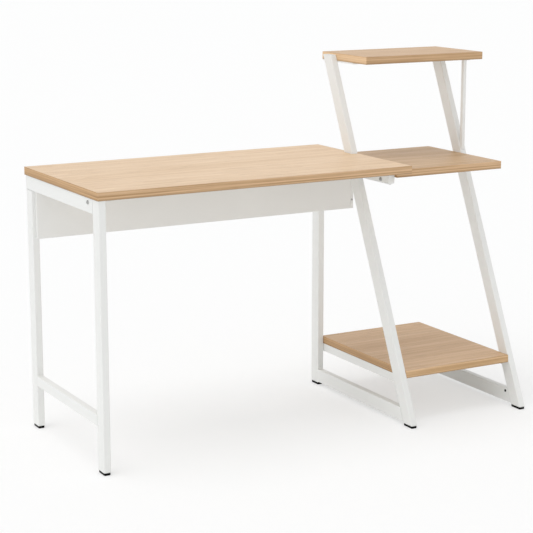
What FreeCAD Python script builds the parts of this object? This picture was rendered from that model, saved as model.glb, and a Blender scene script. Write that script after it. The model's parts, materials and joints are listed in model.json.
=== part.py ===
import FreeCAD, Part
import math
import os

# Desk with a shelf tower at its right end: three white tube frames carry four oak-look boards.
# Lengths are millimetres, +X runs to the right, +Y to the back and +Z up, and the floor is z = 0.
# Places are worked out from the desktop's front left corner. The save function then moves
# every node so that the middle of the whole desk stands over the origin.

# Boards
desk_length = 950.0
desk_depth = 512.0
desk_height = 750.0
board_thickness = 22.0
band_thickness = 1.0
bay_length = 365.0
mid_front = 73.0
mid_depth = 373.0
low_height = 154.0
low_depth = 468.0
low_proud = 3.0
top_height = 1034.0
top_length = 412.0
top_depth = 245.0
top_setback = 25.0
notch_clearance = 1.5

# Steel tube
tube_width = 20.0
tube_depth = 40.0
tube_wall = 1.5
tube_radius = 2.5
brace_height = 30.0
ledge_height = 25.0
low_rail_height = 10.0
post_size = 12.0

# Places of the frames
frame_inset = 3.0
brace_foot = 126.0
slant_foot_front = -52.0
lean_share = 0.451
slant_top_drop = 5.0
arm_setback = 14.0
ledge_setback = 34.0
post_back = 6.0

# Modesty panel and its end trim
panel_thickness = 12.0
panel_height = 133.0
panel_gap = 2.0
panel_lap = 10.0
panel_reach = 94.0
trim_width = 8.0
trim_thickness = 1.0

# Flat bars and angles that carry the boards
bar_thickness = 4.0
bar_width = 40.0
angle_leg = 25.0
angle_wall = 3.0
angle_end_gap = 55.0
mid_angle_length = 130.0
top_bar_length = 170.0
top_plate_lap = 10.0

# Caps, inserts and levelling feet
cap_thickness = 2.0
plug_length = 14.0
plug_clearance = 0.3
foot_height = 8.0
foot_inset = 1.0
foot_radius = 3.0
foot_round = 2.5
stem_diameter = 8.0
stem_length = 24.0
stem_clearance = 0.4
insert_length = 16.0
hole_plug_diameter = 8.0
hole_plug_proud = 1.0

# Bolts and screws
bolt_diameter = 6.0
bolt_clearance = 0.4
bolt_head_diameter = 11.0
bolt_head_height = 3.0
bolt_socket = 4.0
bolt_socket_depth = 1.8
bolt_bite = 30.0
bolt_end_gap = 40.0
nut_size = 10.0
nut_height = 5.0
screw_diameter = 4.0
screw_clearance = 0.4
screw_head_diameter = 8.0
screw_head_height = 2.4
screw_bite = 14.0
panel_bite = 7.0
screw_shares = (0.2, 0.8)

# One overrun serves all cuts
overrun = 2.0

# Worked-out places
desk_under = desk_height - board_thickness
rail_foot = desk_under - tube_depth
tube_foot = foot_height + cap_thickness
left_x = frame_inset
left_inner = left_x + tube_width
front_leg_y = frame_inset
rear_y = desk_depth - frame_inset
rear_leg_y = rear_y - tube_depth
tower_x = desk_length - tube_width
bay_x = desk_length
right_x = bay_x + bay_length
mid_under = desk_under - board_thickness
low_under = low_height - board_thickness
top_under = top_height - board_thickness
top_rear = desk_depth - top_setback
top_front = top_rear - top_depth
base_top = tube_foot + tube_depth
lean_angle = math.atan(lean_share)
chord = tube_depth / math.cos(lean_angle)
half_turn = 180.0
lean_degrees = math.degrees(lean_angle)
quarter_turn = half_turn / 2
whole_length = desk_length + top_length
reach = whole_length + desk_depth
middle = FreeCAD.Vector(-whole_length / 2, -(slant_foot_front + desk_depth) / 2, 0)

X_AXIS = FreeCAD.Vector(1, 0, 0)
Y_AXIS = FreeCAD.Vector(0, 1, 0)
Z_AXIS = FreeCAD.Vector(0, 0, 1)
ORIGIN = FreeCAD.Vector(0, 0, 0)


def save(name, shape):
    moved = shape.copy()
    moved.translate(middle)
    moved.exportStep("parts/" + name + ".step")


def box(x, y, z, length, depth, height):
    return Part.makeBox(length, depth, height, FreeCAD.Vector(x, y, z))


def rod(x, y, z, diameter, length, axis):
    return Part.makeCylinder(diameter / 2, length, FreeCAD.Vector(x, y, z), axis)


def group(solids):
    return Part.makeCompound(solids)


def cut_all(shape, tools):
    for tool in tools:
        shape = shape.cut(tool)
    return shape


# A bar stands on the floor plane with its long edges rounded
def bar(width, depth, length, radius):
    solid = Part.makeBox(width, depth, length)
    long_edges = []
    for edge in solid.Edges:
        size = edge.BoundBox
        if size.ZLength > max(size.XLength, size.YLength):
            long_edges.append(edge)
    return solid.makeFillet(radius, long_edges)


def bore(width, depth, length, slack):
    inset = tube_wall + slack
    hollow = bar(width - 2 * inset, depth - 2 * inset, length, tube_radius - tube_wall)
    hollow.translate(FreeCAD.Vector(inset, inset, 0))
    return hollow


def tube(width, depth, length):
    return bar(width, depth, length, tube_radius).cut(bore(width, depth, length, 0))


# Places an upright bar at a corner
def stand(solid, x, y, z):
    placed = solid.copy()
    placed.translate(FreeCAD.Vector(x, y, z))
    return placed


# Lays an upright bar along the depth, its foot end to the front
def lay(solid, height, x, y, z):
    placed = solid.copy()
    placed.rotate(ORIGIN, X_AXIS, -quarter_turn)
    placed.translate(FreeCAD.Vector(x, y, z + height))
    return placed


# Leans an upright bar back, with its front face through the foot's front edge
def lean(solid, x):
    placed = solid.copy()
    placed.translate(FreeCAD.Vector(0, 0, -chord))
    placed.rotate(ORIGIN, X_AXIS, -lean_degrees)
    placed.translate(FreeCAD.Vector(x, slant_foot_front, foot_height))
    return placed


def slant_front(z):
    return slant_foot_front + lean_share * (z - foot_height)


def level(shape, low, high):
    return shape.common(box(-reach, -reach, low, 3 * reach, 3 * reach, high - low))


slant_length = top_height / math.cos(lean_angle) + 2 * chord
slant_bar = bar(tube_width, tube_depth, slant_length, tube_radius)
slant_bore = bore(tube_width, tube_depth, slant_length, 0)
slant_plug = bore(tube_width, tube_depth, slant_length, plug_clearance)


# Slice of the solid leaning bar, used to trim what meets it
def slant_trim(x):
    return lean(slant_bar, x)


def slant_tube(x, low, high):
    return level(lean(slant_bar.cut(slant_bore), x), low, high)


# A cap closes a tube that stands on it: a plate of the full section and a plug with clearance
def cap(width, depth):
    plate = bar(width, depth, cap_thickness, tube_radius)
    plug = bore(width, depth, plug_length, plug_clearance)
    return plate.fuse(stand(plug, 0, 0, cap_thickness))


# Joints between boards and frames, listed once for heads, shanks and holes
arm_front = mid_front + arm_setback
arm_bolt_z = (rail_foot + mid_under) / 2
rear_bolt_y = (slant_front(arm_bolt_z) + chord + rear_leg_y) / 2
rail_bolt_z = desk_under - angle_leg / 2
end_bolt_z = mid_under + board_thickness / 2
left_angle_y = front_leg_y + tube_depth + angle_wall
left_angle_length = rear_leg_y - left_angle_y - angle_end_gap
rail_bolt_y = left_angle_y + angle_leg
desk_angle_y = slant_front(desk_under) - tube_depth / 2
desk_angle_length = rear_bolt_y - bolt_head_diameter - desk_angle_y
mid_angle_y = arm_front + bolt_end_gap / 2
mid_left_length = rear_bolt_y + bolt_end_gap / 2 - mid_angle_y
slant_mid_y = slant_front(end_bolt_z) + chord / 2
mid_right_y = slant_mid_y - mid_angle_length / 2
top_bar_y = top_rear - top_bar_length - frame_inset
low_front = slant_front(low_height) - low_proud
ledge_y = low_front + ledge_setback
ledge_length = rear_y - ledge_y
strip_y = ledge_y + ledge_setback
strip_length = rear_y - strip_y
post_y = slant_front(desk_height) - post_back
plate_y = post_y - top_plate_lap
plate_length = slant_front(top_under) + chord + top_plate_lap - plate_y
plate_z = top_under - bar_thickness


def spread(start, length):
    return [start + share * length for share in screw_shares]


# Each screw row is its x, its places along the depth and the underside of its board
desk_rows = [
    (left_inner + angle_leg / 2, spread(left_angle_y, left_angle_length), desk_under),
    (tower_x - angle_leg / 2, spread(desk_angle_y, desk_angle_length), desk_under),
]
mid_rows = [
    (bay_x + angle_leg / 2, spread(mid_angle_y, mid_left_length), mid_under),
    (right_x - angle_leg / 2, spread(mid_right_y, mid_angle_length), mid_under),
]
top_rows = [
    (bay_x + bar_width / 2, spread(top_bar_y, top_bar_length), top_under),
]
post_rear = post_y + post_size
top_plate_rows = [
    (right_x + tube_width / 2, spread(post_rear, slant_front(plate_z) - post_rear), top_under),
]
ledge_rows = [
    (bay_x + tube_width / 2, spread(low_front, low_depth), low_under),
]
strip_rows = [
    (right_x - screw_head_diameter, spread(low_front, low_depth), low_under),
]


def screw_holes(rows, thickness):
    holes = []
    for x, places, top in rows:
        for y in places:
            holes.append(rod(x, y, top - thickness - overrun, screw_diameter + 2 * screw_clearance,
                             thickness + overrun + screw_bite + overrun, Z_AXIS))
    return holes


def wood_screws(rows, thickness):
    solids = []
    for x, places, top in rows:
        for y in places:
            under = top - thickness
            shank = rod(x, y, under, screw_diameter, thickness + screw_bite, Z_AXIS)
            head = rod(x, y, under - screw_head_height, screw_head_diameter, screw_head_height, Z_AXIS)
            solids.append(head.fuse(shank))
    return solids


def bolt(x, y, z, length, axis):
    head_start = FreeCAD.Vector(x, y, z) - axis * bolt_head_height
    head = Part.makeCylinder(bolt_head_diameter / 2, bolt_head_height, head_start, axis)
    near = bolt_head_height / 2
    rim = [edge for edge in head.Edges if edge.Closed and (edge.CenterOfMass - head_start).Length < near]
    head = head.makeFillet(near, rim)
    socket = Part.makeCylinder(bolt_socket / 2, bolt_socket_depth, head_start, axis)
    shank = Part.makeCylinder(bolt_diameter / 2, length, FreeCAD.Vector(x, y, z), axis)
    return head.cut(socket).fuse(shank)


def bolt_hole(x, y, z, length, axis):
    start = FreeCAD.Vector(x, y, z) - axis * overrun
    return Part.makeCylinder(bolt_diameter / 2 + bolt_clearance, length + 2 * overrun, start, axis)


# Frame bolts pass a tube and an angle's leg into a nut, and the end bolt goes into the middle shelf
frame_bolt_length = tube_width + angle_wall + nut_height
frame_bolt_places = [
    (left_x, rail_bolt_y, rail_bolt_z),
    (tower_x, arm_front + bolt_end_gap, arm_bolt_z),
    (tower_x, rear_bolt_y, arm_bolt_z),
]
frame_bolt_holes = [bolt_hole(x, y, z, frame_bolt_length, X_AXIS) for x, y, z in frame_bolt_places]
end_bolt_length = tube_width + bolt_bite
end_bolt_place = (right_x + tube_width, slant_mid_y, end_bolt_z)
end_bolt_hole = bolt_hole(*end_bolt_place, end_bolt_length, -X_AXIS)

panel_y = rear_leg_y - panel_thickness
panel_x = left_inner - panel_lap
panel_end = desk_length + panel_reach
panel_top = rail_foot - panel_gap
panel_foot = panel_top - panel_height
panel_screw_x = [panel_x + panel_lap / 2, tower_x + tube_width / 2]
panel_screw_z = spread(panel_foot, panel_height)
panel_holes = []
panel_screws = []
for x in panel_screw_x:
    for z in panel_screw_z:
        length = tube_depth + panel_bite
        head = rod(x, rear_y, z, screw_head_diameter, screw_head_height, Y_AXIS)
        panel_screws.append(head.fuse(rod(x, rear_y - length, z, screw_diameter, length, Y_AXIS)))
        panel_holes.append(rod(x, rear_y - length - overrun, z, screw_diameter + 2 * screw_clearance,
                               length + 2 * overrun, Y_AXIS))


# Boards: a core with a thin band round its four edges
def board(name, x, y, z, length, depth, cuts):
    whole = box(x, y, z, length, depth, board_thickness)
    core = box(x + band_thickness, y + band_thickness, z, length - 2 * band_thickness,
               depth - 2 * band_thickness, board_thickness)
    save(name, cut_all(core, cuts))
    save(name + "_band", cut_all(whole.cut(core), cuts))


def boards():
    notch_bar = box(0, -notch_clearance, 0, tube_width + notch_clearance + overrun,
                    tube_depth + 2 * notch_clearance, slant_length)
    notch = lean(notch_bar, tower_x - notch_clearance)
    board("desktop", 0, 0, desk_under, desk_length, desk_depth,
          [notch] + screw_holes(desk_rows, angle_wall))
    board("mid_shelf", bay_x, mid_front, mid_under, bay_length, mid_depth,
          [end_bolt_hole] + screw_holes(mid_rows, angle_wall))
    board("low_shelf", bay_x, low_front, low_under, bay_length, low_depth,
          screw_holes(ledge_rows, ledge_height) + screw_holes(strip_rows, bar_thickness))
    board("top_shelf", bay_x, top_front, top_under, top_length, top_depth,
          screw_holes(top_rows + top_plate_rows, bar_thickness))


# Left leg frame: the rear leg stops under the top rail and the front leg runs up to the desktop
def left_frame():
    front = tube(tube_width, tube_depth, desk_under - tube_foot)
    save("front_leg", stand(front, left_x, front_leg_y, tube_foot))
    rear = tube(tube_width, tube_depth, rail_foot - tube_foot)
    save("rear_leg", cut_all(stand(rear, left_x, rear_leg_y, tube_foot), panel_holes))
    rail_y = front_leg_y + tube_depth
    rail = tube(tube_width, tube_depth, rear_y - rail_y - cap_thickness)
    save("left_rail", cut_all(lay(rail, tube_depth, left_x, rail_y, rail_foot), frame_bolt_holes))
    end = cap(tube_width, tube_depth)
    end.rotate(ORIGIN, X_AXIS, quarter_turn)
    save("left_rail_cap", stand(end, left_x, rear_y, rail_foot))
    brace = tube(tube_width, brace_height, rear_leg_y - rail_y)
    save("left_brace", lay(brace, brace_height, left_x, rail_y, brace_foot))


# A level rail in a tower frame, trimmed where it meets the leaning tube
def meeting_rail(x, low, height, rear_end):
    start = slant_front(low + height / 2) + chord / 2
    rail = lay(tube(tube_width, height, rear_end - start), height, x, start, low)
    return rail.cut(slant_trim(x))


def tower_left():
    upright = tube(tube_width, tube_depth, desk_under - tube_foot)
    save("tower_upright", cut_all(stand(upright, tower_x, rear_leg_y, tube_foot), panel_holes))
    slant_top = top_height - slant_top_drop
    slant_end = slant_top - cap_thickness
    save("slant_left", slant_tube(tower_x, tube_foot, slant_end))
    lid = level(lean(slant_bar, tower_x), slant_end, slant_top)
    save("slant_cap", lid.fuse(level(lean(slant_plug, tower_x), slant_end - plug_length, slant_end)))
    save("base_left", meeting_rail(tower_x, tube_foot, tube_depth, rear_leg_y))
    save("arm_rear", cut_all(meeting_rail(tower_x, rail_foot, tube_depth, rear_leg_y), frame_bolt_holes))
    arm_end = slant_front(rail_foot + tube_depth / 2) + chord / 2
    arm_start = arm_front + cap_thickness
    arm = lay(tube(tube_width, tube_depth, arm_end - arm_start), tube_depth, tower_x, arm_start, rail_foot)
    save("arm_front", cut_all(arm.cut(slant_trim(tower_x)), frame_bolt_holes))
    save("arm_cap", lay(cap(tube_width, tube_depth), tube_depth, tower_x, arm_front, rail_foot))
    ledge_tube = tube(tube_width, ledge_height, ledge_length - 2 * cap_thickness)
    ledge = lay(ledge_tube, ledge_height, bay_x, ledge_y + cap_thickness, low_under - ledge_height)
    save("low_ledge", cut_all(ledge, screw_holes(ledge_rows, ledge_height)))
    front_plug = lay(cap(tube_width, ledge_height), ledge_height, bay_x, ledge_y, low_under - ledge_height)
    rear_plug = cap(tube_width, ledge_height)
    rear_plug.rotate(ORIGIN, X_AXIS, quarter_turn)
    rear_plug = stand(rear_plug, bay_x, ledge_y + ledge_length, low_under - ledge_height)
    save("ledge_caps", group([front_plug, rear_plug]))


def tower_right():
    save("slant_right", slant_tube(right_x, tube_foot, plate_z).cut(end_bolt_hole))
    base = meeting_rail(right_x, tube_foot, tube_depth, rear_leg_y)
    save("base_right", base.cut(hole_plug(bolt_clearance)))
    riser = tube(tube_width, tube_depth, low_under - bar_thickness - tube_foot)
    save("rear_riser", stand(riser, right_x, rear_leg_y, tube_foot))
    rail_low = low_under - bar_thickness - low_rail_height
    save("low_rail", meeting_rail(right_x, rail_low, low_rail_height, rear_leg_y))
    strip = box(right_x + tube_width - bar_width, strip_y, low_under - bar_thickness, bar_width,
                strip_length, bar_thickness)
    save("low_strip", cut_all(strip, screw_holes(strip_rows, bar_thickness)))
    post_x = right_x + (tube_width - post_size) / 2
    post_start = post_y + post_size / 2 - slant_front(0) - chord / 2
    post_low = post_start / lean_share
    post = stand(tube(post_size, post_size, plate_z - post_low), post_x, post_y, post_low)
    save("thin_post", post.cut(slant_trim(right_x)))
    plate = box(right_x, plate_y, plate_z, tube_width, plate_length, bar_thickness)
    save("top_plate", cut_all(plate, screw_holes(top_plate_rows, bar_thickness)))
    save("hole_plug", hole_plug(0))


# Small dark plug in the inner face of the right base rail, next to the leaning tube
def hole_plug(slack):
    y = slant_front(base_top) + chord + hole_plug_diameter
    z = base_top - hole_plug_diameter
    start = right_x - hole_plug_proud
    stem_size = hole_plug_diameter + 2 * (slack - bolt_clearance)
    stem = rod(start, y, z, stem_size, 2 * tube_wall + hole_plug_proud, X_AXIS)
    head = rod(start, y, z, hole_plug_diameter, hole_plug_proud, X_AXIS)
    return stem.fuse(head)


# An angle with one leg under a board and one leg down a tube's side, both to the given side
def angle(x, y, top, length, side):
    flat_x = min(x, x + side * angle_leg)
    wall_x = min(x, x + side * angle_wall)
    flat = box(flat_x, y, top - angle_wall, angle_leg, length, angle_wall)
    wall = box(wall_x, y, top - angle_leg, angle_wall, length, angle_leg)
    return flat.fuse(wall).removeSplitter()


def carriers():
    left = angle(left_inner, left_angle_y, desk_under, left_angle_length, 1)
    save("desk_angle_left", cut_all(left, screw_holes(desk_rows, angle_wall) + frame_bolt_holes))
    right = angle(tower_x, desk_angle_y, desk_under, desk_angle_length, -1)
    save("desk_angle_right", cut_all(right, screw_holes(desk_rows, angle_wall)))
    mid_left = angle(bay_x, mid_angle_y, mid_under, mid_left_length, 1)
    save("mid_angle_left", cut_all(mid_left, screw_holes(mid_rows, angle_wall) + frame_bolt_holes))
    mid_right = angle(right_x, mid_right_y, mid_under, mid_angle_length, -1)
    save("mid_angle_right", cut_all(mid_right, screw_holes(mid_rows, angle_wall)))
    top_bar = box(bay_x, top_bar_y, top_under - bar_thickness, bar_width, top_bar_length, bar_thickness)
    save("top_bar", cut_all(top_bar, screw_holes(top_rows, bar_thickness)))


def panel():
    sheet = box(panel_x, panel_y, panel_foot, panel_end - panel_x, panel_thickness, panel_height)
    trim_x = panel_end - trim_width
    wrap = box(trim_x, panel_y - trim_thickness, panel_foot, trim_width + trim_thickness,
               panel_thickness + 2 * trim_thickness, panel_height)
    pin_z = panel_screw_z[0]
    pin_x = trim_x + trim_width / 2
    pin_y = panel_y - trim_thickness
    pin_length = trim_thickness + panel_bite
    hole = rod(pin_x, pin_y - overrun, pin_z, screw_diameter + 2 * screw_clearance,
               pin_length + 2 * overrun, Y_AXIS)
    head = rod(pin_x, pin_y - screw_head_height / 2, pin_z, trim_width - 2 * trim_thickness,
               screw_head_height / 2, Y_AXIS)
    pin = head.fuse(rod(pin_x, pin_y, pin_z, screw_diameter, pin_length, Y_AXIS))
    save("modesty_panel", cut_all(sheet, panel_holes + [hole]))
    save("panel_trim", wrap.cut(sheet).cut(hole))
    save("panel_screws", group(panel_screws))
    save("trim_screw", pin)


# A foot pad with its stem, and the insert that holds the stem in the tube's end
def foot(name, x, y, depth):
    pad_width = tube_width - 2 * foot_inset
    pad = bar(pad_width, depth - 2 * foot_inset, foot_height, foot_radius)
    sole = [edge for edge in pad.Edges if edge.BoundBox.ZMax < foot_round]
    pad = stand(pad.makeFillet(foot_round, sole), x + foot_inset, y + foot_inset, 0)
    stem = rod(x + tube_width / 2, y + depth / 2, foot_height, stem_diameter, stem_length, Z_AXIS)
    save(name, pad.fuse(stem))


def stem_hole(x, y, depth):
    return rod(x + tube_width / 2, y + depth / 2, foot_height - overrun, stem_diameter + 2 * stem_clearance,
               stem_length + stem_diameter, Z_AXIS)


def straight_insert(x, y):
    flange = stand(bar(tube_width, tube_depth, cap_thickness, tube_radius), x, y, foot_height)
    plug = stand(bore(tube_width, tube_depth, insert_length, plug_clearance), x, y, tube_foot)
    return flange.fuse(plug).cut(stem_hole(x, y, tube_depth))


def leaning_insert(x):
    flange = level(lean(slant_bar, x), foot_height, tube_foot)
    plug = level(lean(slant_plug, x), tube_foot, tube_foot + insert_length)
    return flange.fuse(plug).cut(stem_hole(x, slant_foot_front, chord))


def feet():
    straight = [
        ("left_front", left_x, front_leg_y),
        ("left_rear", left_x, rear_leg_y),
        ("mid_rear", tower_x, rear_leg_y),
        ("right_rear", right_x, rear_leg_y),
    ]
    for place, x, y in straight:
        foot("foot_" + place, x, y, tube_depth)
        save("insert_" + place, straight_insert(x, y))
    for place, x in [("mid_front", tower_x), ("right_front", right_x)]:
        foot("foot_" + place, x, slant_foot_front, chord)
        save("insert_" + place, leaning_insert(x))


def fasteners():
    bolts = []
    nuts = []
    for place, hole in zip(frame_bolt_places, frame_bolt_holes):
        x, y, z = place
        bolts.append(bolt(x, y, z, frame_bolt_length, X_AXIS))
        face = Part.Face(Part.makePolygon(hexagon(x + tube_width + angle_wall, y, z)))
        nuts.append(face.extrude(X_AXIS * nut_height).cut(hole))
    save("frame_bolts", group(bolts))
    save("frame_nuts", group(nuts))
    save("end_bolt", bolt(*end_bolt_place, end_bolt_length, -X_AXIS))
    save("desk_screws", group(wood_screws(desk_rows, angle_wall)))
    save("mid_screws", group(wood_screws(mid_rows, angle_wall)))
    save("top_screws", group(wood_screws(top_rows + top_plate_rows, bar_thickness)))
    low = wood_screws(ledge_rows, ledge_height) + wood_screws(strip_rows, bar_thickness)
    save("low_screws", group(low))


def hexagon(x, y, z):
    corner = nut_size / 2 / math.cos(math.radians(half_turn / 6))
    points = []
    for step in range(7):
        turn = math.radians(half_turn / 3 * step)
        points.append(FreeCAD.Vector(x, y + corner * math.cos(turn), z + corner * math.sin(turn)))
    return points


os.makedirs("parts", exist_ok=True)
boards()
left_frame()
tower_left()
tower_right()
carriers()
panel()
feet()
fasteners()
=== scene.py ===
import json
import math

import bmesh
import bpy
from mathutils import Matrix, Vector


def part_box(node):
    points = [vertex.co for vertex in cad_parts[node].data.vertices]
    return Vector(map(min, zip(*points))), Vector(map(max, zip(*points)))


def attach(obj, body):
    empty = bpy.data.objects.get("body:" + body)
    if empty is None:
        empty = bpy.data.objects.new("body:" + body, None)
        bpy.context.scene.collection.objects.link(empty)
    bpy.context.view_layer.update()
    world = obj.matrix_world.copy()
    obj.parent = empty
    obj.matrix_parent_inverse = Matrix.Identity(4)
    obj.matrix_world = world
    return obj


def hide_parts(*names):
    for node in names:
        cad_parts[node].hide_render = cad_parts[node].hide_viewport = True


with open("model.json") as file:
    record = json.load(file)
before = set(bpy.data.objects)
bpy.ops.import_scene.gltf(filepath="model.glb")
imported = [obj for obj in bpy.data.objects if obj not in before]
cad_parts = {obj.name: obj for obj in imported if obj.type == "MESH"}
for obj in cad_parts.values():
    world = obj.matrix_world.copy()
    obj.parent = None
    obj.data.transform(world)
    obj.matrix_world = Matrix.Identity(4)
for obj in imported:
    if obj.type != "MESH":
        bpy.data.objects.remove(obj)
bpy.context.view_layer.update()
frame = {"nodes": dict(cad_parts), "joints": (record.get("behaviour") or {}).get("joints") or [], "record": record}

# Gives the desk's nodes their materials, adds turned fasteners, feet and welds, and sets up the camera,
# the lights and the floor. Lengths are in metres, in the frame of the CAD model.
scene = bpy.context.scene
nodes_by_name = frame["nodes"]

MM = 0.001
TURN = 2 * math.pi
WHITE = (1.0, 1.0, 1.0, 1.0)

# The camera stands at the photograph's place
CAMERA_PLACE = (-2.2782, -3.9636, 1.4195)
CAMERA_YAW = 0.5088
CAMERA_PITCH = 0.2094
CAMERA_LENS = 110.04
CAMERA_SENSOR = 36.0
CAMERA_REACH = 400.0

# Light from the world, which grows from a height on the unit sphere down to the horizon
WORLD_LEVEL = 0.63
HORIZON_LEVEL = 0.42
HORIZON_TOP = 0.8
# Each lamp is the way it comes from, its width and its level
LAMPS = {
    "overhead": ((-0.3, 0.02, 1.0), math.radians(42.0), 0.76),
    "side": ((-1.0, -0.3, 0.35), math.radians(80.0), 0.39),
}
FLOOR_SIZE = 160.0
FLOOR_COLOR = (0.985, 0.99, 0.99)
# Share of plain white in the floor where it is seen directly, which thins the shadow
FLOOR_LIFT = 0.45

# Places of the colour sockets in a mix node
MIX_A = 6
MIX_B = 7
MIX_RESULT = 2
BEVEL_SAMPLES = 4
# Cosine between the true and the rounded face, on flat faces and on sharp edges
EDGE_COSINES = (0.995, 0.8)
NO_SHIFT = (0.0, 0.0, 0.0)


def rgba(color):
    """A socket as it is, or a plain colour made opaque."""
    return color if isinstance(color, bpy.types.NodeSocket) else (*color, 1.0)


class Sketch:
    """The node tree of a material or a world, with short calls to add and join nodes."""

    def __init__(self, owner):
        owner.use_nodes = True
        self.tree = owner.node_tree

    def feed(self, sockets, values):
        """Join the outputs of other nodes to the named sockets, and set plain values."""
        for key, value in values.items():
            if isinstance(value, bpy.types.NodeSocket):
                self.tree.links.new(value, sockets[key])
            else:
                sockets[key].default_value = value

    def node(self, kind, values, **settings):
        """Add a node, feed its inputs and return its outputs."""
        made = self.tree.nodes.new(kind)
        for key, value in settings.items():
            setattr(made, key, value)
        self.feed(made.inputs, values)
        return made.outputs

    def math(self, operation, a, b=0.0):
        return self.node("ShaderNodeMath", {0: a, 1: b}, operation=operation)[0]

    def span(self, value, source, target=(0.0, 1.0), **settings):
        """The value carried over from one range to another and kept inside it."""
        ranges = dict(zip(("From Min", "From Max", "To Min", "To Max"), source + target))
        return self.node("ShaderNodeMapRange", {"Value": value, **ranges}, **settings)["Result"]

    def axis_of(self, source, axis):
        """One axis of the texture coordinates of the given source."""
        place = self.node("ShaderNodeTexCoord", {})[source]
        return self.node("ShaderNodeSeparateXYZ", {0: place})[axis]


class Look(Sketch):
    """A new material with a principled shader and textures that lie still on the piece."""

    def __init__(self, name):
        self.material = bpy.data.materials.new(name)
        super().__init__(self.material)
        self.shader = self.tree.nodes["Principled BSDF"].inputs

    def noise(self, waves, shift=NO_SHIFT, detail=3.0, rough=0.55):
        """Noise with about so many waves per metre along each axis of the piece."""
        place = self.node("ShaderNodeTexCoord", {})["Object"]
        mapping = {"Location": shift, "Scale": waves, "Vector": place}
        spot = self.node("ShaderNodeMapping", mapping)["Vector"]
        values = {"Scale": 1.0, "Detail": detail, "Roughness": rough, "Vector": spot}
        return self.node("ShaderNodeTexNoise", values)["Fac"]

    def total(self, *layers):
        """The sum of values, each times its share."""
        parts = [self.math("MULTIPLY", value, share) for value, share in layers]
        result = parts[0]
        for part in parts[1:]:
            result = self.math("ADD", result, part)
        return result

    def mix(self, amount, a, b, share=1.0):
        """From colour a towards colour b, by the amount times the share."""
        factor = amount if share == 1.0 else self.math("MULTIPLY", amount, share)
        values = {"Factor": factor, MIX_A: rgba(a), MIX_B: rgba(b)}
        return self.node("ShaderNodeMix", values, data_type="RGBA")[MIX_RESULT]

    def facing(self, axis):
        """How far the face looks along an axis of the piece, from -1 to 1."""
        return self.axis_of("Normal", axis)

    def rise(self):
        """0 at the piece's lowest point and 1 at its highest."""
        return self.axis_of("Generated", "Z")

    def rounded(self, radius):
        """The way the face looks when its edges are rounded by a radius."""
        return self.node("ShaderNodeBevel", {"Radius": radius}, samples=BEVEL_SAMPLES)["Normal"]

    def edges(self, radius):
        """Near 0 on flat faces and near 1 on sharp edges."""
        true = self.node("ShaderNodeNewGeometry", {})["Normal"]
        values = {0: self.rounded(radius), 1: true}
        cosine = self.node("ShaderNodeVectorMath", values, operation="DOT_PRODUCT")["Value"]
        return self.span(cosine, EDGE_COSINES)

    def relief(self, height, strength, depth, edge_radius):
        """Fine relief on the faces, and softly rounded edges."""
        values = {"Strength": strength, "Distance": depth, "Height": height}
        values["Normal"] = self.rounded(edge_radius)
        self.feed(self.shader, {"Normal": self.node("ShaderNodeBump", values)["Normal"]})

    def finish(self, color, rough):
        self.feed(self.shader, {"Base Color": color, "Roughness": rough})
        return self.material


# Parts of a noise's range that are stretched over the whole range
WIDE = (0.3, 0.7)
MIDDLE = (0.34, 0.66)
NARROW = (0.35, 0.65)
PEAKS = (0.55, 0.75)

# Oak veneer: waves per metre along the grain and across it
OAK_FIGURE = (0.8, 8.0, 8.0)
OAK_STREAK = (1.5, 55.0, 55.0)
OAK_LINE = (4.0, 300.0, 300.0)
OAK_FIBRE = (10.0, 1100.0, 1100.0)
OAK_PORE = (24.0, 1250.0, 1250.0)
# Rings over the whole range of the figure's noise
OAK_RINGS = 19.0
# Shares of the layers in the tone
STREAK_SHARE = 0.42
FIGURE_SHARE = 0.26
LINE_SHARE = 0.42
FIBRE_SHARE = 0.2
# Short dashes of pores, which are fainter in the pale part of a ring
PORE_DASHES = (0.60, 0.68)
RING_PART = (0.1, 0.75)
PORE_AMOUNT = (0.3, 1.0)
FIBRE_RELIEF = 0.6
# Faces that look down have the backing sheet
LOOKS_DOWN = (-0.4, -0.6)
BACKING = (0.72, 0.65, 0.56)
OAK_ROUGHNESS = (0.40, 0.52)


def oak(name, light, dark, pore, shift):
    """Pale oak veneer with its grain along X, a painted highlight on its edges, and a plainer backing sheet
    underneath.
    """
    s = Look(name)
    broad = s.noise(OAK_FIGURE, shift, detail=2.0, rough=0.5)
    figure = s.math("FRACT", s.math("MULTIPLY", broad, OAK_RINGS))
    streak = s.noise(OAK_STREAK, shift, detail=4.0, rough=0.6)
    line = s.noise(OAK_LINE, shift, detail=4.0, rough=0.65)
    fibre = s.noise(OAK_FIBRE, shift, detail=3.0, rough=0.6)
    strand = s.span(fibre, WIDE)
    dashes = s.span(s.noise(OAK_PORE, shift, detail=1.0, rough=0.5), PORE_DASHES)
    pores = s.math("MULTIPLY", dashes, s.span(figure, RING_PART, PORE_AMOUNT))
    tone = s.total(
        (s.span(streak, MIDDLE), STREAK_SHARE),
        (figure, FIGURE_SHARE),
        (s.span(line, MIDDLE), LINE_SHARE),
        (strand, FIBRE_SHARE),
    )
    color = s.mix(tone, light, dark)
    color = s.mix(pores, color, pore, share=0.6)
    # Painted highlight: the edges lightened towards the pale tone, as an arris that catches the light
    color = s.mix(s.edges(radius=2.0 * MM), color, light, share=0.4)
    backing = s.mix(strand, BACKING, dark, share=0.3)
    color = s.mix(s.span(s.facing("Z"), LOOKS_DOWN), color, backing)
    height = s.math("SUBTRACT", s.math("MULTIPLY", fibre, FIBRE_RELIEF), pores)
    s.relief(height, strength=0.25, depth=0.12 * MM, edge_radius=0.5 * MM)
    return s.finish(color, s.span(streak, WIDE, OAK_ROUGHNESS))


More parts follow.
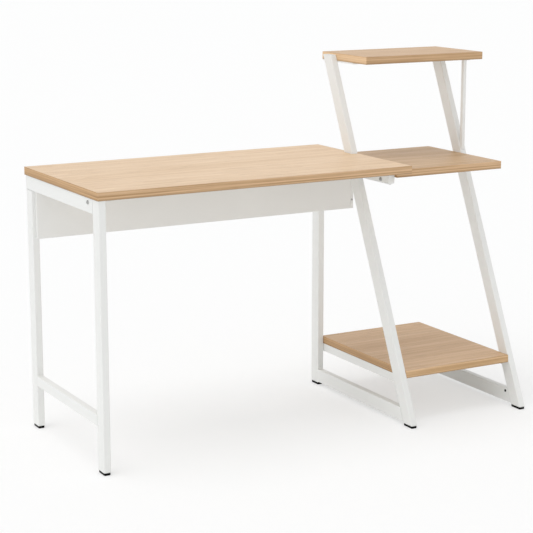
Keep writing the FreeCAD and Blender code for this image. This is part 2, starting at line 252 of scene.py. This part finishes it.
# Edge bands: waves per metre along the board's two sides and up its edge
BAND_LAYER = (1.6, 1.6, 230.0)
BAND_FIBRE = (12.0, 12.0, 1500.0)
BAND_BLOTCH = (14.0, 14.0, 60.0)
BAND_STEPS = (0.40, 0.62)
LAYER_SHARE = 0.9
BLOTCH_SHARE = 0.2
# Faces that look along X are the board's ends, which take the end colours as painted light and shade
LOOKS_ALONG = (0.4, 0.6)
# Painted shade darkens the lower edge over this part of the band's height, up to this amount
LOWER_EDGE_SHADE = (0.18, 0.04)
LOWER_SHADE_AMOUNT = (0.0, 0.6)
BAND_ROUGHNESS = (0.45, 0.58)


def oak_band(name, front, end, line, shift):
    """Edge band whose fine lines run round the board, with painted shade along its lower edge.

    The front and the end are pairs of a light and a dark colour; the end's pair is painted light and shade for
    faces that look along X.
    """
    s = Look(name)
    layer = s.noise(BAND_LAYER, shift, detail=4.0, rough=0.6)
    fibre = s.noise(BAND_FIBRE, shift, detail=2.0, rough=0.6)
    blotch = s.noise(BAND_BLOTCH, shift, detail=3.0, rough=0.6)
    tone = s.total((s.span(layer, BAND_STEPS), LAYER_SHARE), (blotch, BLOTCH_SHARE))
    # Painted light and shade: ends get their own colours by the way the face looks
    end_light_and_shade = s.span(s.math("ABSOLUTE", s.facing("X")), LOOKS_ALONG)
    color = s.mix(end_light_and_shade, s.mix(tone, *front), s.mix(tone, *end))
    color = s.mix(s.span(fibre, PEAKS), color, line, share=0.4)
    # Painted shade along the lower edge, towards the dark line colour
    color = s.mix(s.span(s.rise(), LOWER_EDGE_SHADE, LOWER_SHADE_AMOUNT), color, line)
    s.relief(fibre, strength=0.2, depth=0.1 * MM, edge_radius=0.7 * MM)
    return s.finish(color, s.span(layer, WIDE, BAND_ROUGHNESS))


# Other finishes: waves per metre of their textures
COAT_PEEL = (620.0, 620.0, 620.0)
COAT_DRIFT = (5.0, 5.0, 5.0)
COAT_SPECK = (210.0, 210.0, 210.0)
SPECK_PEAKS = (0.66, 0.78)
COAT_ROUGHNESS = (0.36, 0.46)
PRESSED_FACE = (90.0, 900.0, 900.0)
FACE_DRIFT = (3.0, 3.0, 3.0)
FACE_ROUGHNESS = (0.45, 0.56)
PLASTIC_SKIN = (900.0, 900.0, 900.0)
PLASTIC_CLOUD = (60.0, 60.0, 60.0)
PLASTIC_SPREAD = 0.08
ZINC_MARKS = (1400.0, 1400.0, 1400.0)
ZINC_BLOOM = (240.0, 240.0, 240.0)
ZINC_ROUGHNESS = (0.34, 0.5)


def powder_coat(name, color, shade, worn):
    """White powder coat: fine peel, slow tone drift and thin cover on the edges."""
    s = Look(name)
    peel = s.noise(COAT_PEEL, detail=3.0, rough=0.55)
    drift = s.noise(COAT_DRIFT, detail=3.0, rough=0.5)
    speck = s.noise(COAT_SPECK, detail=2.0, rough=0.5)
    tint = s.mix(s.span(drift, NARROW), color, shade)
    tint = s.mix(s.span(speck, SPECK_PEAKS), tint, worn, share=0.25)
    tint = s.mix(s.edges(radius=1.2 * MM), tint, worn, share=0.3)
    s.relief(peel, strength=0.18, depth=0.08 * MM, edge_radius=1.0 * MM)
    return s.finish(tint, s.span(drift, WIDE, COAT_ROUGHNESS))


def melamine(name, color, shade, worn):
    """Grey-white faced board with a fine pressed texture."""
    s = Look(name)
    pressed = s.noise(PRESSED_FACE, detail=3.0, rough=0.55)
    drift = s.noise(FACE_DRIFT, detail=2.0, rough=0.5)
    tint = s.mix(s.span(drift, NARROW), color, shade)
    tint = s.mix(s.span(pressed, PEAKS), tint, worn, share=0.12)
    tint = s.mix(s.edges(radius=0.8 * MM), tint, worn, share=0.4)
    s.relief(pressed, strength=0.2, depth=0.06 * MM, edge_radius=0.6 * MM)
    return s.finish(tint, s.span(pressed, WIDE, FACE_ROUGHNESS))


def plastic(name, color, shade, rough, gloss):
    """Moulded plastic with a fine matt skin."""
    s = Look(name)
    skin_noise = s.noise(PLASTIC_SKIN, detail=3.0, rough=0.6)
    cloud = s.noise(PLASTIC_CLOUD, detail=3.0, rough=0.5)
    tint = s.mix(s.span(cloud, NARROW), color, shade)
    tint = s.mix(s.edges(radius=0.6 * MM), tint, shade, share=0.5)
    s.feed(s.shader, {"Specular IOR Level": gloss})
    s.relief(skin_noise, strength=0.3, depth=0.06 * MM, edge_radius=0.5 * MM)
    return s.finish(tint, s.span(skin_noise, WIDE, (rough - PLASTIC_SPREAD, rough + PLASTIC_SPREAD)))


def zinc(name, color, shade, dull):
    """Dull zinc plating with fine marks."""
    s = Look(name)
    marks = s.noise(ZINC_MARKS, detail=3.0, rough=0.6)
    bloom = s.noise(ZINC_BLOOM, detail=3.0, rough=0.55)
    tint = s.mix(s.span(bloom, NARROW), color, shade)
    tint = s.mix(s.edges(radius=0.4 * MM), tint, dull, share=0.5)
    s.feed(s.shader, {"Metallic": 1.0})
    s.relief(marks, strength=0.25, depth=0.04 * MM, edge_radius=0.3 * MM)
    return s.finish(tint, s.span(bloom, WIDE, ZINC_ROUGHNESS))


# The boards are one oak; the shelves and the low and top bands are copies with painted light and shade in their
# tones
MATERIALS = {
    "desktop": oak(
        "desktop_oak",
        light=(0.912, 0.695, 0.478),
        dark=(0.692, 0.476, 0.282),
        pore=(0.40, 0.25, 0.13),
        shift=(0.3, 0.1, 0.0),
    ),
    # Darker than the desktop: painted shade under the top shelf
    "mid_shelf": oak(
        "mid_oak_painted_shade",
        light=(0.67, 0.452, 0.25),
        dark=(0.48, 0.298, 0.148),
        pore=(0.30, 0.185, 0.09),
        shift=(7.1, 3.4, 1.2),
    ),
    # Darker than the desktop: painted shade under the shelves above
    "low_shelf": oak(
        "low_oak_painted_shade",
        light=(0.75, 0.505, 0.29),
        dark=(0.54, 0.334, 0.174),
        pore=(0.33, 0.20, 0.10),
        shift=(3.7, 8.2, 2.9),
    ),
    # Darker than the desktop: painted shade
    "top_shelf": oak(
        "top_oak_painted_shade",
        light=(0.71, 0.478, 0.272),
        dark=(0.51, 0.316, 0.16),
        pore=(0.31, 0.19, 0.095),
        shift=(9.3, 5.6, 4.4),
    ),
    "band": oak_band(
        "band_oak",
        front=((0.71, 0.475, 0.28), (0.43, 0.255, 0.115)),
        end=((0.635, 0.395, 0.188), (0.37, 0.205, 0.08)),
        line=(0.20, 0.11, 0.045),
        shift=NO_SHIFT,
    ),
    # Lighter front than the other bands: painted light
    "low_band": oak_band(
        "low_band_oak_painted_light",
        front=((0.78, 0.535, 0.315), (0.50, 0.305, 0.14)),
        end=((0.60, 0.375, 0.19), (0.35, 0.195, 0.08)),
        line=(0.24, 0.135, 0.055),
        shift=(4.0, 3.0, 0.9),
    ),
    # Darker front: painted shade; much lighter ends: painted light on the lit end
    "top_band": oak_band(
        "top_band_oak_painted_light_and_shade",
        front=((0.67, 0.445, 0.25), (0.41, 0.24, 0.108)),
        end=((0.84, 0.60, 0.365), (0.68, 0.445, 0.245)),
        line=(0.22, 0.125, 0.05),
        shift=(2.0, 1.0, 0.3),
    ),
    "steel": powder_coat(
        "white_powder_coat",
        color=(0.822, 0.828, 0.812),
        shade=(0.80, 0.806, 0.79),
        worn=(0.69, 0.695, 0.68),
    ),
    "panel": melamine(
        "grey_white_melamine",
        color=(0.83, 0.83, 0.81),
        shade=(0.805, 0.805, 0.785),
        worn=(0.68, 0.68, 0.66),
    ),
    "cap": plastic(
        "white_plastic",
        color=(0.83, 0.835, 0.82),
        shade=(0.77, 0.775, 0.76),
        rough=0.5,
        gloss=0.5,
    ),
    "black": plastic(
        "black_plastic",
        color=(0.004, 0.004, 0.004),
        shade=(0.009, 0.009, 0.009),
        rough=0.62,
        gloss=0.06,
    ),
    "zinc": zinc(
        "zinc_plate",
        color=(0.50, 0.50, 0.49),
        shade=(0.36, 0.36, 0.355),
        dull=(0.22, 0.22, 0.215),
    ),
}

# Nodes with a look of their own, and the looks of all others by their material slot
NODE_LOOKS = {
    "desktop": "desktop",
    "mid_shelf": "mid_shelf",
    "low_shelf": "low_shelf",
    "top_shelf": "top_shelf",
    "low_shelf_band": "low_band",
    "top_shelf_band": "top_band",
}
SLOT_LOOKS = {
    "oak_band": "band",
    "white_steel": "steel",
    "white_plastic": "cap",
    "panel_board": "panel",
    "black_foot": "black",
    "zinc_steel": "zinc",
}


def dress_nodes():
    for row in frame["record"]["subparts"]:
        look = NODE_LOOKS.get(row["node"]) or SLOT_LOOKS[row["material_slot"]]
        mesh = nodes_by_name[row["node"]].data
        mesh.materials.clear()
        mesh.materials.append(MATERIALS[look])


# New pieces: points nearer than this are one point, and edges sharper than this stay sharp
MERGE_DISTANCE = 0.001 * MM
SHARP_ANGLE = math.radians(35.0)


def add_piece(name, bm, looks, body):
    bmesh.ops.remove_doubles(bm, verts=bm.verts, dist=MERGE_DISTANCE)
    bmesh.ops.recalc_face_normals(bm, faces=bm.faces)
    mesh = bpy.data.meshes.new(name)
    bm.to_mesh(mesh)
    bm.free()
    for look in looks:
        mesh.materials.append(MATERIALS[look])
    mesh.shade_smooth()
    mesh.set_sharp_from_angle(angle=SHARP_ANGLE)
    obj = bpy.data.objects.new(name, mesh)
    scene.collection.objects.link(obj)
    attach(obj, body)
    return obj


def skin(bm, rings, look=0):
    """Faces between rings of points, closed at both ends."""
    made = [[bm.verts.new(point) for point in ring] for ring in rings]
    for low, high in zip(made, made[1:]):
        for i in range(len(low)):
            j = (i + 1) % len(low)
            bm.faces.new((low[i], low[j], high[j], high[i])).material_index = look
    bm.faces.new(reversed(made[0])).material_index = look
    bm.faces.new(made[-1]).material_index = look


def joined_points(first, seen):
    """The points that edges join to the first one, which is itself among them."""
    seen.add(first)
    stack = [first]
    points = []
    while stack:
        vert = stack.pop()
        points.append(vert.co.copy())
        for edge in vert.link_edges:
            other = edge.other_vert(vert)
            if other not in seen:
                seen.add(other)
                stack.append(other)
    return points


def solids_of(node):
    """The points of each separate solid in a node."""
    bm = bmesh.new()
    bm.from_mesh(nodes_by_name[node].data)
    bmesh.ops.remove_doubles(bm, verts=bm.verts, dist=MERGE_DISTANCE)
    seen = set()
    solids = [joined_points(vert, seen) for vert in bm.verts if vert not in seen]
    bm.free()
    return solids


# Fasteners: button bolts with a six-sided socket, and pan screws with a cross.
# A head is the kind of its recess, the recess's share of the head's radius and of its height.
BOLT_HEAD = ("hex", 0.42, 0.6)
SCREW_HEAD = ("cross", 0.6, 0.7)
FASTENERS = {
    "frame_bolts": BOLT_HEAD,
    "end_bolt": BOLT_HEAD,
    "desk_screws": SCREW_HEAD,
    "mid_screws": SCREW_HEAD,
    "low_screws": SCREW_HEAD,
    "top_screws": SCREW_HEAD,
    "panel_screws": SCREW_HEAD,
    "trim_screw": SCREW_HEAD,
}
SEGMENTS = 48
# The cross's core as a share of its reach, and a power that makes its four arms slim
CROSS_CORE = 0.34
CROSS_POWER = 8
# Shares of the head's radius and height, from its seat to its flat top
HEAD_PROFILE = ((1.0, 0.0), (1.0, 0.4), (0.95, 0.68), (0.84, 0.88), (0.7, 1.0))
RECESS_TAPER = 0.92
# The tip's end radius and the length of its taper, as shares of the shank's radius
TIP_RADIUS = 0.7
TIP_TAPER = 0.5
# Points beyond this share of the largest radius are the head's
HEAD_REACH = 0.98
# Points this near the tip give the shank's radius
TIP_REACH = 0.1 * MM


def outline(kind, size, angle):
    """Distance from the axis to a round, six-sided or cross-shaped outline."""
    if kind == "hex":
        sixth = TURN / 6
        return size * math.cos(sixth / 2) / math.cos(angle % sixth - sixth / 2)
    if kind == "cross":
        return size * (CROSS_CORE + (1.0 - CROSS_CORE) * abs(math.cos(2 * angle)) ** CROSS_POWER)
    return size


def measure(points):
    """Way from head to tip, centre of the head's seat, and the sizes of the head and the shank."""
    low = Vector([min(p[i] for p in points) for i in range(3)])
    high = Vector([max(p[i] for p in points) for i in range(3)])
    size = high - low
    along = max(range(3), key=lambda i: size[i])
    centre = (low + high) / 2

    def radius(p):
        away = p - centre
        away[along] = 0.0
        return away.length

    widest = max(radius(p) for p in points)
    head_spots = [p[along] for p in points if radius(p) > HEAD_REACH * widest]
    head_low = abs(min(head_spots) - low[along]) < abs(high[along] - max(head_spots))
    outer = low[along] if head_low else high[along]
    seat = max(head_spots) if head_low else min(head_spots)
    tip = high[along] if head_low else low[along]
    shank = max(radius(p) for p in points if abs(p[along] - tip) < TIP_REACH)
    axis = Vector((0.0, 0.0, 0.0))
    axis[along] = 1.0 if head_low else -1.0
    centre[along] = seat
    return axis, centre, widest, abs(seat - outer), shank, abs(tip - seat)


def fastener(bm, points, kind, recess_share, depth_share):
    axis, seat, wide, tall, shank, length = measure(points)
    side = axis.orthogonal().normalized()
    other = axis.cross(side)
    profile = [
        ("round", TIP_RADIUS * shank, length),
        ("round", shank, length - TIP_TAPER * shank),
        ("round", shank, 0.0),
    ]
    profile += [("round", out * wide, -up * tall) for out, up in HEAD_PROFILE]
    profile += [
        (kind, recess_share * wide, -tall),
        (kind, RECESS_TAPER * recess_share * wide, (depth_share - 1.0) * tall),
    ]
    angles = [TURN * i / SEGMENTS for i in range(SEGMENTS)]
    rings = []
    for shape, size, height in profile:
        ring = []
        for angle in angles:
            way = side * math.cos(angle) + other * math.sin(angle)
            ring.append(seat + axis * height + way * outline(shape, size, angle))
        rings.append(ring)
    skin(bm, rings)


def make_fasteners():
    for node, head in FASTENERS.items():
        bm = bmesh.new()
        for points in solids_of(node):
            fastener(bm, points, *head)
        piece = add_piece(node + "_turned", bm, ["zinc"], "frame")
        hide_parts(node)


# Feet: a pad with a rounded sole and a steel stem with a thread
CORNER_STEPS = 7
CORNER_SIDES = ((1, 1), (-1, 1), (-1, -1), (1, -1))
PAD_CORNER = 3.0 * MM
PAD_HEIGHT = 8.0 * MM
SOLE_ROUND = 2.5 * MM
# The pad's upper rim, as shares of its size going in and down
PAD_RIM = 0.6 * MM
RIM_PROFILE = ((0.0, 1.0), (0.3, 0.3), (1.0, 0.0))
STEM_RADIUS = 4.0 * MM
THREAD_PITCH = 1.25 * MM
THREAD_DEPTH = 0.55 * MM
THREAD_STEPS = 6


def rounded_ring(centre, half_x, half_y, corner, z, thread=0.0):
    """A rectangle with rounded corners, cut by a thread of the given depth."""
    ring = []
    for quarter, (side_x, side_y) in enumerate(CORNER_SIDES):
        for step in range(CORNER_STEPS):
            angle = TURN / 4 * (quarter + step / (CORNER_STEPS - 1))
            turn = (z / THREAD_PITCH - angle / TURN) % 1.0
            reach = corner - thread * abs(2 * turn - 1)
            x = centre.x + side_x * (half_x - corner) + reach * math.cos(angle)
            y = centre.y + side_y * (half_y - corner) + reach * math.sin(angle)
            ring.append((x, y, z))
    return ring


def pad_rings(low, high):
    """Rings of the pad, from its sole to its rim."""
    levels = []
    for step in range(CORNER_STEPS):
        angle = TURN / 4 * step / (CORNER_STEPS - 1)
        levels.append((SOLE_ROUND * (1 - math.sin(angle)), SOLE_ROUND * (1 - math.cos(angle))))
    for inward, down in RIM_PROFILE:
        levels.append((PAD_RIM * inward, PAD_HEIGHT - PAD_RIM * down))
    centre = (low + high) / 2
    half = (high - low) / 2
    rings = []
    for inset, height in levels:
        corner = PAD_CORNER - inset
        rings.append(rounded_ring(centre, half.x - inset, half.y - inset, corner, low.z + height))
    return rings


def stem_rings(low, high):
    """Rings of the threaded stem, from the pad to its top."""
    centre = (low + high) / 2
    foot = low.z + PAD_HEIGHT
    rows = round((high.z - foot) / THREAD_PITCH * THREAD_STEPS)
    rings = []
    for row in range(rows + 1):
        z = foot + (high.z - foot) * row / rows
        rings.append(rounded_ring(centre, STEM_RADIUS, STEM_RADIUS, STEM_RADIUS, z, THREAD_DEPTH))
    return rings


def make_foot(node):
    low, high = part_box(node)
    looks = ["black", "zinc"]
    bm = bmesh.new()
    skin(bm, pad_rings(low, high), looks.index("black"))
    skin(bm, stem_rings(low, high), looks.index("zinc"))
    piece = add_piece(node + "_pad", bm, looks, node)
    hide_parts(node)


# Welds: a small rippled fillet in each inner corner of the tube frames
WELD_LEG = 2.6 * MM
WELD_STEP = 0.4 * MM
WELD_LEAST_STEPS = 4
WELD_RIPPLE = 1.6 * MM
WELD_RIPPLE_SHARE = 0.10
# Shares of the leg along the two faces, for the points between the fillet's two ends
WELD_PROFILE = ((0.55, 0.16), (0.3, 0.3), (0.16, 0.55))
# How far the fillet goes into the tubes, and how far it stays from their sides
WELD_SINK = 0.4 * MM
WELD_INSET = 2.0 * MM
# The leg starts at a share of its full size and grows with the share of the length
WELD_START = 0.35
WELD_GROWTH = 4.0
BACK = (0, 1, 0)
FRONT = (0, -1, 0)
UP = (0, 0, 1)
DOWN = (0, 0, -1)
# How far the leaning tubes go back for each length up
LEAN = 0.451
LEAN_UP = (0, LEAN, 1)
LEAN_DOWN = (0, -LEAN, -1)


def weld(bm, start, end, a, b):
    """Fillet along a corner line, between two faces that leave the corner along the given ways."""
    way = end - start
    steps = max(int(way.length / WELD_STEP), WELD_LEAST_STEPS)
    rings = []
    for step in range(steps + 1):
        share = step / steps
        place = start + way * share
        grown = min(1.0, WELD_GROWTH * min(share, 1.0 - share) + WELD_START)
        ripple = abs(math.sin(math.pi * way.length * share / WELD_RIPPLE))
        leg = WELD_LEG * grown * (1.0 + WELD_RIPPLE_SHARE * ripple)
        ring = [place - (a + b) * WELD_SINK, place + a * leg - b * WELD_SINK]
        ring += [place + a * share_a * leg + b * share_b * leg for share_a, share_b in WELD_PROFILE]
        ring.append(place + b * leg - a * WELD_SINK)
        rings.append(ring)
    skin(bm, rings)


def corner_weld(bm, low, high, y, z, way_a, way_b):
    """Weld across a tube, from its low to its high side, in the corner at the given place."""
    start = Vector((low.x + WELD_INSET, y, z))
    end = Vector((high.x - WELD_INSET, y, z))
    weld(bm, start, end, Vector(way_a).normalized(), Vector(way_b).normalized())


def weld_left_frame(bm):
    rail_low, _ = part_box("left_rail")
    low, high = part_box("left_brace")
    for y, way in ((low.y, BACK), (high.y, FRONT)):
        corner_weld(bm, low, high, y, rail_low.z, way, DOWN)
        corner_weld(bm, low, high, y, high.z, way, UP)
        corner_weld(bm, low, high, y, low.z, way, DOWN)


def weld_tower(bm):
    for base in ("base_left", "base_right"):
        low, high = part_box(base)
        corner_weld(bm, low, high, high.y, high.z, FRONT, UP)
        corner_weld(bm, low, high, low.y + LEAN * (high.z - low.z), high.z, BACK, LEAN_UP)
    low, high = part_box("arm_front")
    corner_weld(bm, low, high, high.y - LEAN * (high.z - low.z), low.z, FRONT, LEAN_DOWN)
    for rail in ("arm_rear", "low_rail"):
        low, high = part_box(rail)
        corner_weld(bm, low, high, low.y, low.z, BACK, LEAN_DOWN)
        corner_weld(bm, low, high, high.y, low.z, FRONT, DOWN)


def make_welds():
    bm = bmesh.new()
    weld_left_frame(bm)
    weld_tower(bm)
    add_piece("frame_welds", bm, ["steel"], "frame")


# Camera, lights and floor
def add_turned(name, data, ahead):
    """A camera or lamp that looks along a way."""
    obj = bpy.data.objects.new(name, data)
    obj.rotation_mode = "QUATERNION"
    obj.rotation_quaternion = ahead.to_track_quat("-Z", "Y")
    scene.collection.objects.link(obj)
    return obj


def make_camera():
    data = bpy.data.cameras.new("camera")
    data.lens = CAMERA_LENS
    data.sensor_width = CAMERA_SENSOR
    data.clip_end = CAMERA_REACH
    level = math.cos(CAMERA_PITCH)
    ahead = Vector((math.sin(CAMERA_YAW) * level, math.cos(CAMERA_YAW) * level, -math.sin(CAMERA_PITCH)))
    scene.camera = add_turned("camera", data, ahead)
    scene.camera.location = CAMERA_PLACE


def make_lamps():
    for name, (source, width, level) in LAMPS.items():
        data = bpy.data.lights.new(name, "SUN")
        data.angle = width
        data.energy = level
        add_turned(name, data, -Vector(source))


def seen_directly(s):
    """1 for rays from the camera, from glossy faces and through clear ones."""
    path = s.node("ShaderNodeLightPath", {})
    glossy_too = s.math("MAXIMUM", path["Is Camera Ray"], path["Is Glossy Ray"])
    return s.math("MAXIMUM", glossy_too, path["Is Transmission Ray"])


def make_world():
    """Soft light that grows towards the horizon, behind a background that is seen as plain white."""
    scene.world = bpy.data.worlds.new("studio")
    s = Sketch(scene.world)
    s.tree.nodes.clear()
    height = s.axis_of("Generated", "Z")
    levels = (WORLD_LEVEL + HORIZON_LEVEL, WORLD_LEVEL)
    glow = s.span(height, (0.0, HORIZON_TOP), levels, interpolation_type="SMOOTHSTEP")
    soft = s.node("ShaderNodeBackground", {"Color": WHITE, "Strength": glow})[0]
    white = s.node("ShaderNodeBackground", {"Color": WHITE, "Strength": 1.0})[0]
    mixed = s.node("ShaderNodeMixShader", {"Fac": seen_directly(s), 1: soft, 2: white})[0]
    s.node("ShaderNodeOutputWorld", {"Surface": mixed})


def floor_material():
    """Matt white, with a share of plain white where it is seen directly."""
    material = bpy.data.materials.new("floor")
    s = Sketch(material)
    s.tree.nodes.clear()
    plain = s.node("ShaderNodeBsdfDiffuse", {"Color": rgba(FLOOR_COLOR)})[0]
    white = s.node("ShaderNodeEmission", {"Strength": 1.0})[0]
    lift = s.math("MULTIPLY", seen_directly(s), FLOOR_LIFT)
    mixed = s.node("ShaderNodeMixShader", {"Fac": lift, 1: plain, 2: white})[0]
    s.node("ShaderNodeOutputMaterial", {"Surface": mixed})
    return material


def make_floor():
    half = FLOOR_SIZE / 2
    corners = [(-half, -half, 0), (half, -half, 0), (half, half, 0), (-half, half, 0)]
    mesh = bpy.data.meshes.new("floor")
    mesh.from_pydata(corners, [], [(0, 1, 2, 3)])
    mesh.materials.append(floor_material())
    floor = bpy.data.objects.new("floor", mesh)
    scene.collection.objects.link(floor)


dress_nodes()
make_fasteners()
for joint in frame["joints"]:
    make_foot(joint["child"])
make_welds()
make_camera()
make_world()
make_floor()
make_lamps()
scene.view_settings.view_transform = "Standard"
